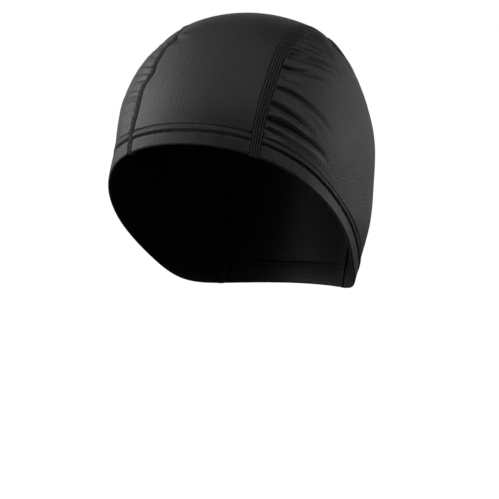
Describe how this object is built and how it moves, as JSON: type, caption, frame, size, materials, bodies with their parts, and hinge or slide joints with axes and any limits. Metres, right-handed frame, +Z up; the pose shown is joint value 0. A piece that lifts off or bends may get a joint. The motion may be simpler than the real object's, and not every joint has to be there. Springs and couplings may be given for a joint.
{
  "type": "helmet liner cap",
  "caption": "Close-fitting stretch-knit skull cap with a smooth centre panel, gathered side panels, flat seams and a folded hem, worn under a helmet.",
  "frame": {"origin": "inside of the crown's top, where the cap rests on the wearer's head", "axes": "+Z up, -Y toward the forehead, +X toward the wearer's left"},
  "size_m": [0.1524, 0.194, 0.1737],
  "materials": {
    "panel_knit": "black stretch knit, smooth face with a soft sheen",
    "seam_thread": "black flat-seam stitching, matt",
    "hem_knit": "black stretch knit folded under and cover-stitched"
  },
  "bodies": {
    "root": {"centre_panel": "panel_knit", "side_panel_left": "panel_knit", "side_panel_right": "panel_knit", "seam_left": "seam_thread", "seam_right": "seam_thread", "hem_front": "hem_knit", "hem_left": "hem_knit", "hem_back": "hem_knit", "hem_right": "hem_knit"}
  },
  "joints": []
}
